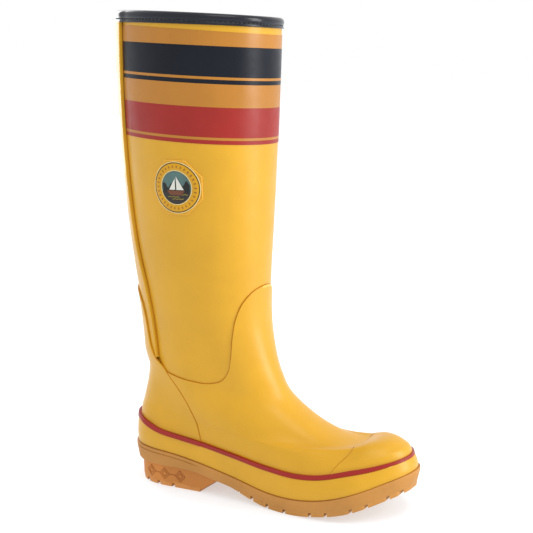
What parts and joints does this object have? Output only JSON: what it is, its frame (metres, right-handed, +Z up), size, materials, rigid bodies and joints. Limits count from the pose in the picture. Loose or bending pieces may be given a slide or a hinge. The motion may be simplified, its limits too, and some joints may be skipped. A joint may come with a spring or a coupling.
{
  "type": "rubber deck boot",
  "caption": "Tall rubber deck boot with a fabric lining, striped leg, round sailing badge, bound top edge, foxing, gum sole with a block heel and a flexing ankle.",
  "frame": {"origin": "on the floor, at the middle of the boot's length and width", "axes": "+X towards the toe, +Z up the leg, -Y to the outer side of the right foot"},
  "size_m": [0.276, 0.1252, 0.4105],
  "materials": {
    "yellow_rubber": "smooth glossy dipped rubber",
    "navy_rubber": "smooth semi-gloss rubber",
    "ochre_rubber": "smooth glossy rubber strip",
    "red_rubber": "smooth glossy rubber strip",
    "gum_rubber": "semi-matte gum rubber",
    "heel_rubber": "semi-matte darker gum rubber",
    "cotton_lining": "brushed cotton jersey",
    "black_thread": "waxed polyester thread",
    "badge_clear": "glossy moulded plate",
    "badge_navy": "printed and glossy",
    "badge_gold": "printed and glossy",
    "badge_cream": "printed and glossy",
    "badge_red": "printed and glossy",
    "fibreboard": "matt pressed fibreboard",
    "footbed_foam": "matt textile over foam",
    "filler_rubber": "matt expanded rubber",
    "spring_steel": "plain rolled strip"
  },
  "bodies": {
    "foot": {"outsole": "gum_rubber", "heel_block": "heel_rubber", "shank": "spring_steel", "heel_filler": "filler_rubber", "forefoot_filler": "filler_rubber", "insole_board": "fibreboard", "footbed": "footbed_foam", "foot_lining": "cotton_lining", "vamp": "yellow_rubber", "heel_counter": "yellow_rubber", "toe_cap": "yellow_rubber", "toe_puff": "fibreboard", "heel_stiffener": "fibreboard", "foxing_band": "yellow_rubber", "foxing_piping": "red_rubber"},
    "leg": {"leg_shell": "yellow_rubber", "leg_lining": "cotton_lining", "back_strip": "yellow_rubber", "top_binding": "navy_rubber", "binding_stitching": "black_thread", "band_ochre_upper": "ochre_rubber", "band_navy_wide": "navy_rubber", "band_ochre_pin_upper": "ochre_rubber", "band_navy_thin": "navy_rubber", "band_ochre_middle": "ochre_rubber", "band_red_wide": "red_rubber", "band_ochre_pin_lower": "ochre_rubber", "band_red_thin": "red_rubber", "badge_plate": "badge_clear", "badge_rim": "badge_navy", "badge_ring": "badge_gold", "badge_sky": "badge_cream", "badge_sea": "badge_navy", "badge_sails": "badge_cream", "badge_hull": "badge_red"}
  },
  "joints": [
    {"name": "ankle_flex", "type": "hinge", "parent": "foot", "child": "leg", "pos_m": [-0.053, 0, 0.105], "axis": [0, 1, 0], "range_deg": [-8, 18], "stiffness_Nm_per_rad": 6, "deforming": ["vamp", "heel_counter", "foot_lining"]}
  ]
}
